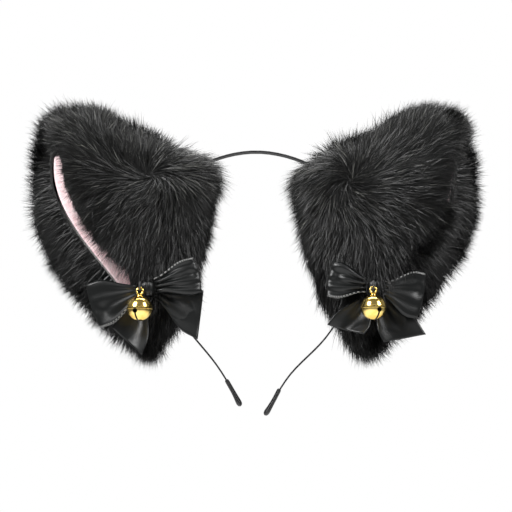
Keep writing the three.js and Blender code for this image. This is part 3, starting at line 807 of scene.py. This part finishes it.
def satin():
    material, shader, n, links = plain_material("black satin", (0.004, 0.0045, 0.0045), 0.3)
    shader.inputs["Specular IOR Level"].default_value = 0.35
    shader.inputs["Anisotropic"].default_value = 0.55
    lay = n.new("ShaderNodeUVMap")
    lay.uv_map = "Ribbon"
    stretch = shader_node(n, "Mapping", Scale=(8, 420, 1))
    weave = shader_node(n, "TexNoise", Scale=1, Detail=4)
    rough = shader_node(n, "MapRange", To_Min=0.22, To_Max=0.42)
    split = n.new("ShaderNodeSeparateXYZ")
    edge = n.new("ShaderNodeMath")
    edge.operation = "GREATER_THAN"
    edge.inputs[1].default_value = PICOT_EDGE
    picot_count = n.new("ShaderNodeMath")
    picot_count.operation = "MULTIPLY"
    picot_count.inputs[1].default_value = 2 * math.pi * PICOTS
    picot_wave = n.new("ShaderNodeMath")
    picot_wave.operation = "SINE"
    picot_up = n.new("ShaderNodeMath")
    picot_up.operation = "GREATER_THAN"
    picot_up.inputs[1].default_value = 0.1
    picot = n.new("ShaderNodeMath")
    picot.operation = "MULTIPLY"
    # painted highlight: the picot dots are light grey for the glints on the edge's thread loops, which are
    # not modelled
    thread = n.new("ShaderNodeMix")
    thread.data_type = "RGBA"
    thread.inputs[6].default_value = (0.004, 0.0045, 0.0045, 1)
    thread.inputs[7].default_value = (0.22, 0.22, 0.215, 1)
    grain = shader_node(n, "Bump", Strength=0.25, Distance=0.0001)
    links.new(lay.outputs["UV"], stretch.inputs["Vector"])
    links.new(stretch.outputs["Vector"], weave.inputs["Vector"])
    links.new(weave.outputs["Fac"], rough.inputs["Value"])
    links.new(rough.outputs["Result"], shader.inputs["Roughness"])
    links.new(weave.outputs["Fac"], grain.inputs["Height"])
    links.new(grain.outputs["Normal"], shader.inputs["Normal"])
    links.new(lay.outputs["UV"], split.inputs["Vector"])
    links.new(split.outputs["Y"], edge.inputs[0])
    links.new(split.outputs["X"], picot_count.inputs[0])
    links.new(picot_count.outputs["Value"], picot_wave.inputs[0])
    links.new(picot_wave.outputs["Value"], picot_up.inputs[0])
    links.new(picot_up.outputs["Value"], picot.inputs[0])
    links.new(edge.outputs["Value"], picot.inputs[1])
    links.new(picot.outputs["Value"], thread.inputs["Factor"])
    links.new(thread.outputs[2], shader.inputs["Base Color"])
    return material


SATIN = satin()


def ribbon_piece(name, around, across, place, picot=1.0):
    """A strip of ribbon: a grid laid where place(along 0..1, across -1..1) says, with its own map."""
    mesh = bpy.data.meshes.new(name)
    bm = bmesh.new()
    lay = bm.loops.layers.uv.new("Ribbon")
    bmesh.ops.create_grid(bm, x_segments=around, y_segments=across, size=1, calc_uvs=False)
    for f in bm.faces:
        for corner in f.loops:
            corner[lay].uv = ((corner.vert.co.x + 1) / 2, picot * (corner.vert.co.y + 1) / 2)
    for v in bm.verts:
        v.co = place((v.co.x + 1) / 2, v.co.y)
    bmesh.ops.recalc_face_normals(bm, faces=bm.faces)
    bm.to_mesh(mesh)
    bm.free()
    mesh.materials.append(SATIN)
    mesh.shade_smooth()
    ribbon = bpy.data.objects.new(name, mesh)
    bpy.context.collection.objects.link(ribbon)
    thick = ribbon.modifiers.new("cloth", "SOLIDIFY")
    thick.thickness = RIBBON_THICKNESS
    thick.offset = 0
    return ribbon


def lie_of(reach):
    """The length and direction of a loop or tail, and the direction across it."""
    run = Vector((reach[0], 0, reach[1])).normalized()
    return math.hypot(*reach), run, Vector((-run.z, 0, run.x))


for side in SIDES:
    low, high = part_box(f"bow_{side}_knot")
    knot_middle = (Vector(low) + Vector(high)) / 2
    knot = knot_middle + Vector((0, BOW_KNOT_BACK, 0))
    for spot in ("outer", "inner"):
        reach, half, puff, fold, dent = LOOPS[side, spot]
        length, run, wide = lie_of(reach)

        def loop_place(u, v):
            turn = u * math.pi
            lift = abs(math.sin(turn))
            share = lift ** 0.75
            opening = -(LOOP_SEAM + puff * math.sqrt(lift)) * math.cos(turn)
            spread = KNOT_NARROW + (half - KNOT_NARROW) * window(share, 0, SPREAD_BY)
            folds = math.sin(FOLD_WAVES * v + 1.3 * u) * (1 - 0.75 * share)
            sway = SWAY * math.sin(2.2 * v + 5 * u) * share
            dip = math.exp(-(((u - dent[0]) / DENT_SPREAD[0]) ** 2 + ((v - dent[1]) / DENT_SPREAD[1]) ** 2))
            y = opening - LOOP_FORWARD + fold * (folds + sway) + dent[2] * dip * (1 if u < 0.5 else 0)
            along = KNOT_START + (length - KNOT_START) * share - LOOP_BOW * share * v * v
            return knot + run * along + wide * (spread * v) + Vector((0, y, 0))

        loop = ribbon_piece(f"satin_loop_{spot}_{side}", RIBBON_AROUND, RIBBON_ACROSS, loop_place)
        finish_piece(loop, "ears_band", "satin", f"bow_{side}_loop_{spot}")

        reach, half, curl, slant = TAILS[side, spot]
        length, run, wide = lie_of(reach)

        def tail_place(u, v):
            spread = TAIL_NARROW + (half - TAIL_NARROW) * window(u, 0, SPREAD_BY)
            y = TAIL_BACK - TAIL_LEAN * u + TAIL_WAVE * math.sin(5 * u)
            y += curl * u * math.sin(2.6 * v + 2.2 * u)
            y += TAIL_PLEATS * math.sin(9 * v) * (1 - u)
            along = KNOT_START + (length + TAIL_EXTRA - KNOT_START) * u + slant * v * u
            return knot + run * along + wide * (spread * v) + Vector((0, y, 0))

        name = f"satin_tail_{spot}_{side}"
        tail = ribbon_piece(name, RIBBON_AROUND // 2, RIBBON_ACROSS, tail_place, TAIL_PICOT)
        finish_piece(tail, "ears_band", "satin", f"bow_{side}_tail_{spot}")

    bm = bmesh.new()
    bmesh.ops.create_cube(bm, size=2)
    bmesh.ops.subdivide_edges(bm, edges=bm.edges, cuts=13, use_grid_fill=True)
    half_size = (Vector(high) - Vector(low)) / 2
    for v in bm.verts:
        v.co /= sum(abs(c) ** KNOT_SQUARENESS for c in v.co) ** (1 / KNOT_SQUARENESS)
        crease = (1 + math.sin(9 * v.co.x + 1.2 * v.co.z)) * (1 - abs(v.co.x))
        pleat = 1 - KNOT_CREASE * crease - KNOT_PINCH * v.co.x ** 2
        v.co.x *= half_size.x * KNOT_WIDTH_SHARE
        v.co.y *= half_size.y * pleat
        v.co.z *= half_size.z * pleat
        v.co += knot_middle
    knot_mesh = bpy.data.meshes.new(f"satin_knot_{side}")
    bm.to_mesh(knot_mesh)
    bm.free()
    unwrap = knot_mesh.uv_layers.new(name="Ribbon")
    for corner in knot_mesh.loops:
        off = knot_mesh.vertices[corner.vertex_index].co - knot_middle
        unwrap.data[corner.index].uv = (
            math.atan2(off.z, -off.y) / (2 * math.pi) + 0.5, 0.5 + 0.9 * off.x / (2 * half_size.x)
        )
    knot_mesh.materials.append(SATIN)
    knot_mesh.shade_smooth()
    knot_piece = bpy.data.objects.new(f"satin_knot_{side}", knot_mesh)
    bpy.context.collection.objects.link(knot_piece)
    finish_piece(knot_piece, "ears_band", "satin", f"bow_{side}_knot")

# ---- Jingle bells ----
# Two brass shells, spun and polished, are pressed together at a rolled flange. The lower one has a
# slot between two round holes, a wire eye is brazed on a collar on top, and a steel ball is inside.
BELL_RADIUS = 0.006
BELL_WALL = 0.0005
BELL_AROUND = 72
SEAM_HALF = 0.00015
SLOT_TURN = {"left": -0.32, "right": 0.44}
SLOT_SIZE = (0.0009, 0.0108, 0.008)
SLOT_MIDDLE_Z = -0.0062
HOLE_RADIUS = 0.0012
HOLE_DEPTH = 0.004
HOLE_TILT = 0.25
EYE_RISE = 0.00825
EYE_RING = 0.00145
EYE_WIRE = 0.0005


def polished_brass():
    material, shader, n, links = plain_material("polished brass", (0.9, 0.64, 0.17), 0.14, 1.0)
    place = n.new("ShaderNodeTexCoord")
    cloud = shader_node(n, "TexNoise", Scale=260, Detail=5)
    tone = tone_ramp(n, 0.3, (0.72, 0.46, 0.09), 0.62, (0.98, 0.74, 0.24))
    rough = shader_node(n, "MapRange", To_Min=0.08, To_Max=0.24)
    spun = shader_node(n, "TexNoise", Scale=1500)
    scratch = shader_node(n, "Bump", Strength=0.06, Distance=0.00005)
    links.new(place.outputs["Object"], cloud.inputs["Vector"])
    links.new(place.outputs["Object"], spun.inputs["Vector"])
    links.new(cloud.outputs["Fac"], tone.inputs["Fac"])
    links.new(tone.outputs["Color"], shader.inputs["Base Color"])
    links.new(cloud.outputs["Fac"], rough.inputs["Value"])
    links.new(rough.outputs["Result"], shader.inputs["Roughness"])
    links.new(spun.outputs["Fac"], scratch.inputs["Height"])
    links.new(scratch.outputs["Normal"], shader.inputs["Normal"])
    return material


BRASS = polished_brass()


def worn_steel():
    material, shader, n, links = plain_material("plain steel ball", (0.42, 0.43, 0.45), 0.3, 1.0)
    place = n.new("ShaderNodeTexCoord")
    marks = shader_node(n, "TexNoise", Scale=1100)
    rough = shader_node(n, "MapRange", To_Min=0.2, To_Max=0.5)
    links.new(place.outputs["Object"], marks.inputs["Vector"])
    links.new(marks.outputs["Fac"], rough.inputs["Value"])
    links.new(rough.outputs["Result"], shader.inputs["Roughness"])
    return material


BALL_STEEL = worn_steel()


def spun_shell(name, outline, centre):
    """The outline of radius and height, turned a full round about the bell's upright axis."""
    bm = bmesh.new()
    line = [bm.verts.new((r, 0, h)) for r, h in outline]
    edges = [bm.edges.new(pair) for pair in zip(line, line[1:])]
    bmesh.ops.spin(bm, geom=line + edges, cent=(0, 0, 0), axis=(0, 0, 1), angle=2 * math.pi,
                   steps=BELL_AROUND, use_merge=True)
    bmesh.ops.remove_doubles(bm, verts=bm.verts, dist=WELD)
    bmesh.ops.recalc_face_normals(bm, faces=bm.faces)
    bmesh.ops.translate(bm, verts=bm.verts, vec=centre)
    return linked_mesh(name, bm, BRASS)


def arc_outline(radius, low, high, steps, squeeze=1.0):
    """Points of radius and height on the shell's round, from one turn to the other."""
    turns = [low + (high - low) * k / steps for k in range(steps + 1)]
    return [(radius * math.cos(t) * squeeze, SEAM_HALF + (radius - SEAM_HALF) * math.sin(t)) for t in turns]


def cut_away(piece, cutter):
    """Takes the cutter's shape out of the piece, for good."""
    cut = piece.modifiers.new("slot", "BOOLEAN")
    cut.operation = "DIFFERENCE"
    cut.solver = "EXACT"
    cut.object = cutter
    graph = bpy.context.evaluated_depsgraph_get()
    mesh = bpy.data.meshes.new_from_object(piece.evaluated_get(graph))
    piece.modifiers.clear()
    piece.data = mesh
    bpy.data.objects.remove(cutter)
    shade_smooth(mesh, math.radians(40))


def shade_inside(shell, centre):
    """The shell's inner face is never polished, and is made near black: painted shade inside the hollow
    bell.
    """
    shell.data.materials.append(INNER_SHADE_BRASS)
    for f in shell.data.polygons:
        if (f.center - centre).length < MID_WALL:
            f.material_index = 1


# Near black, far darker than unpolished brass: painted shade for the bell's inside, seen through the slot
# and holes.
INNER_SHADE_BRASS = matt_finish("unpolished brass with painted shade", (0.010, 0.006, 0.002), (0.05, 0.032, 0.010))
MID_WALL = BELL_RADIUS - 0.6 * BELL_WALL
INNER = BELL_RADIUS - BELL_WALL
FLANGE_TURN = math.radians(6)
SHELL_SQUEEZE = 0.985
FLANGE = [(0.00592, 0.00052), (0.00606, 0.00048), (0.00614, 0.0004), (0.00614, SEAM_HALF)]
COLLAR = [(0.0, 0.00655), (0.0009, 0.00655), (0.0013, 0.00648), (0.00148, 0.00628), (0.00135, 0.00605)]
COLLAR_TURN = math.radians(76)
BALL_KNOCKS = 0.02
for side in SIDES:
    low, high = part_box(f"bell_{side}_shell_top")
    centre = Vector(((low[0] + high[0]) / 2, (low[1] + high[1]) / 2, low[2] - SEAM_HALF))
    wall_in = arc_outline(INNER, 0, math.pi / 2, 18)
    dome = arc_outline(BELL_RADIUS, COLLAR_TURN, FLANGE_TURN, 20, SHELL_SQUEEZE)
    top = spun_shell(f"brass_shell_top_{side}", COLLAR + dome + FLANGE + wall_in, centre)
    shade_inside(top, centre)
    finish_piece(top, f"bell_{side}", "gold", f"bell_{side}_shell_top")

    bowl = arc_outline(BELL_RADIUS, math.pi / 2, FLANGE_TURN, 24, SHELL_SQUEEZE)
    under = [(max(r, 0.0), -h) for r, h in bowl + FLANGE + wall_in]
    bottom = spun_shell(f"brass_shell_bottom_{side}", under, centre)
    about = Matrix.Translation(centre) @ Matrix.Rotation(SLOT_TURN[side], 4, "Z")
    bm = bmesh.new()
    slit = bmesh.ops.create_cube(bm, size=1)["verts"]
    bmesh.ops.scale(bm, verts=slit, vec=SLOT_SIZE)
    bmesh.ops.translate(bm, verts=slit, vec=(0, 0, SLOT_MIDDLE_Z))
    bmesh.ops.transform(bm, verts=slit, matrix=about)
    cut_away(bottom, linked_mesh("slit_cutter", bm, BRASS))
    for end in (-1, 1):
        bm = bmesh.new()
        hole = Matrix.Rotation(-end * HOLE_TILT, 4, "X") @ Matrix.Translation((0, end * BELL_RADIUS, 0))
        hole = hole @ Matrix.Rotation(math.pi / 2, 4, "X")
        bmesh.ops.create_cone(bm, cap_ends=True, segments=32, radius1=HOLE_RADIUS, radius2=HOLE_RADIUS,
                              depth=HOLE_DEPTH, matrix=about @ hole)
        cut_away(bottom, linked_mesh("hole_cutter", bm, BRASS))
    shade_inside(bottom, centre)
    finish_piece(bottom, f"bell_{side}", "gold", f"bell_{side}_shell_bottom")

    bm = bmesh.new()
    wire_start = Matrix.Translation((EYE_RING, 0, 0)) @ Matrix.Rotation(math.pi / 2, 4, "Z")
    bmesh.ops.create_circle(bm, segments=16, radius=EYE_WIRE, matrix=wire_start)
    bmesh.ops.spin(bm, geom=bm.verts[:] + bm.edges[:], cent=(0, 0, 0), axis=(0, 1, 0), angle=2 * math.pi,
                   steps=40, use_merge=True)
    bmesh.ops.remove_doubles(bm, verts=bm.verts, dist=WELD)
    bmesh.ops.recalc_face_normals(bm, faces=bm.faces)
    bmesh.ops.translate(bm, verts=bm.verts, vec=centre + Vector((0, 0, EYE_RISE)))
    eye = linked_mesh(f"brass_eye_{side}", bm, BRASS)
    finish_piece(eye, f"bell_{side}", "gold", f"bell_{side}_eye")

    low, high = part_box(f"bell_{side}_pellet")
    bm = bmesh.new()
    bmesh.ops.create_icosphere(bm, subdivisions=4, radius=(high[2] - low[2]) / 2)
    for v in bm.verts:
        knock = math.sin(2100 * v.co.x) * math.sin(1900 * v.co.y + 1) * math.sin(2300 * v.co.z + 2)
        v.co *= 1 + BALL_KNOCKS * knock
    bmesh.ops.translate(bm, verts=bm.verts, vec=(Vector(low) + Vector(high)) / 2)
    pellet = linked_mesh(f"steel_pellet_{side}", bm, BALL_STEEL)
    finish_piece(pellet, f"pellet_{side}", "pellet", f"bell_{side}_pellet")

# ---- Thread loops ----
# Each bell's eye hangs from a loop of two-ply black polyester thread, sewn through the knot.
THREAD_PLY = 0.00017
THREAD_TURNS = 9
THREAD_POINTS = 108
BLACK_THREAD = matt_finish("black polyester thread", (0.006, 0.006, 0.006), (0.05, 0.05, 0.05))
for side in SIDES:
    low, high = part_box(f"bell_{side}_thread")
    centre = (Vector(low) + Vector(high)) / 2
    reach_y = (high[1] - low[1]) / 2 - 2 * THREAD_PLY
    reach_z = (high[2] - low[2]) / 2 - 2 * THREAD_PLY
    bm = bmesh.new()
    for ply in (0, math.pi):
        curve = bpy.data.curves.new("ply", "CURVE")
        curve.dimensions = "3D"
        curve.bevel_depth = THREAD_PLY
        curve.bevel_resolution = 2
        path = curve.splines.new("POLY")
        path.points.add(THREAD_POINTS - 1)
        path.use_cyclic_u = True
        for k, point in enumerate(path.points):
            turn = 2 * math.pi * k / THREAD_POINTS
            twist = ply + THREAD_TURNS * turn
            out = 1 + THREAD_PLY * math.cos(twist) / reach_y
            x = THREAD_PLY * math.sin(twist)
            place = centre + Vector((x, reach_y * out * math.cos(turn), reach_z * out * math.sin(turn)))
            point.co = (*place, 1)
        strand = bpy.data.objects.new("ply", curve)
        tube = strand.to_mesh()
        bm.from_mesh(tube)
        strand.to_mesh_clear()
        bpy.data.objects.remove(strand)
    bmesh.ops.recalc_face_normals(bm, faces=bm.faces)
    loop = linked_mesh(f"thread_loop_{side}", bm, BLACK_THREAD, math.radians(60))
    finish_piece(loop, f"thread_{side}", "thread", f"bell_{side}_thread")
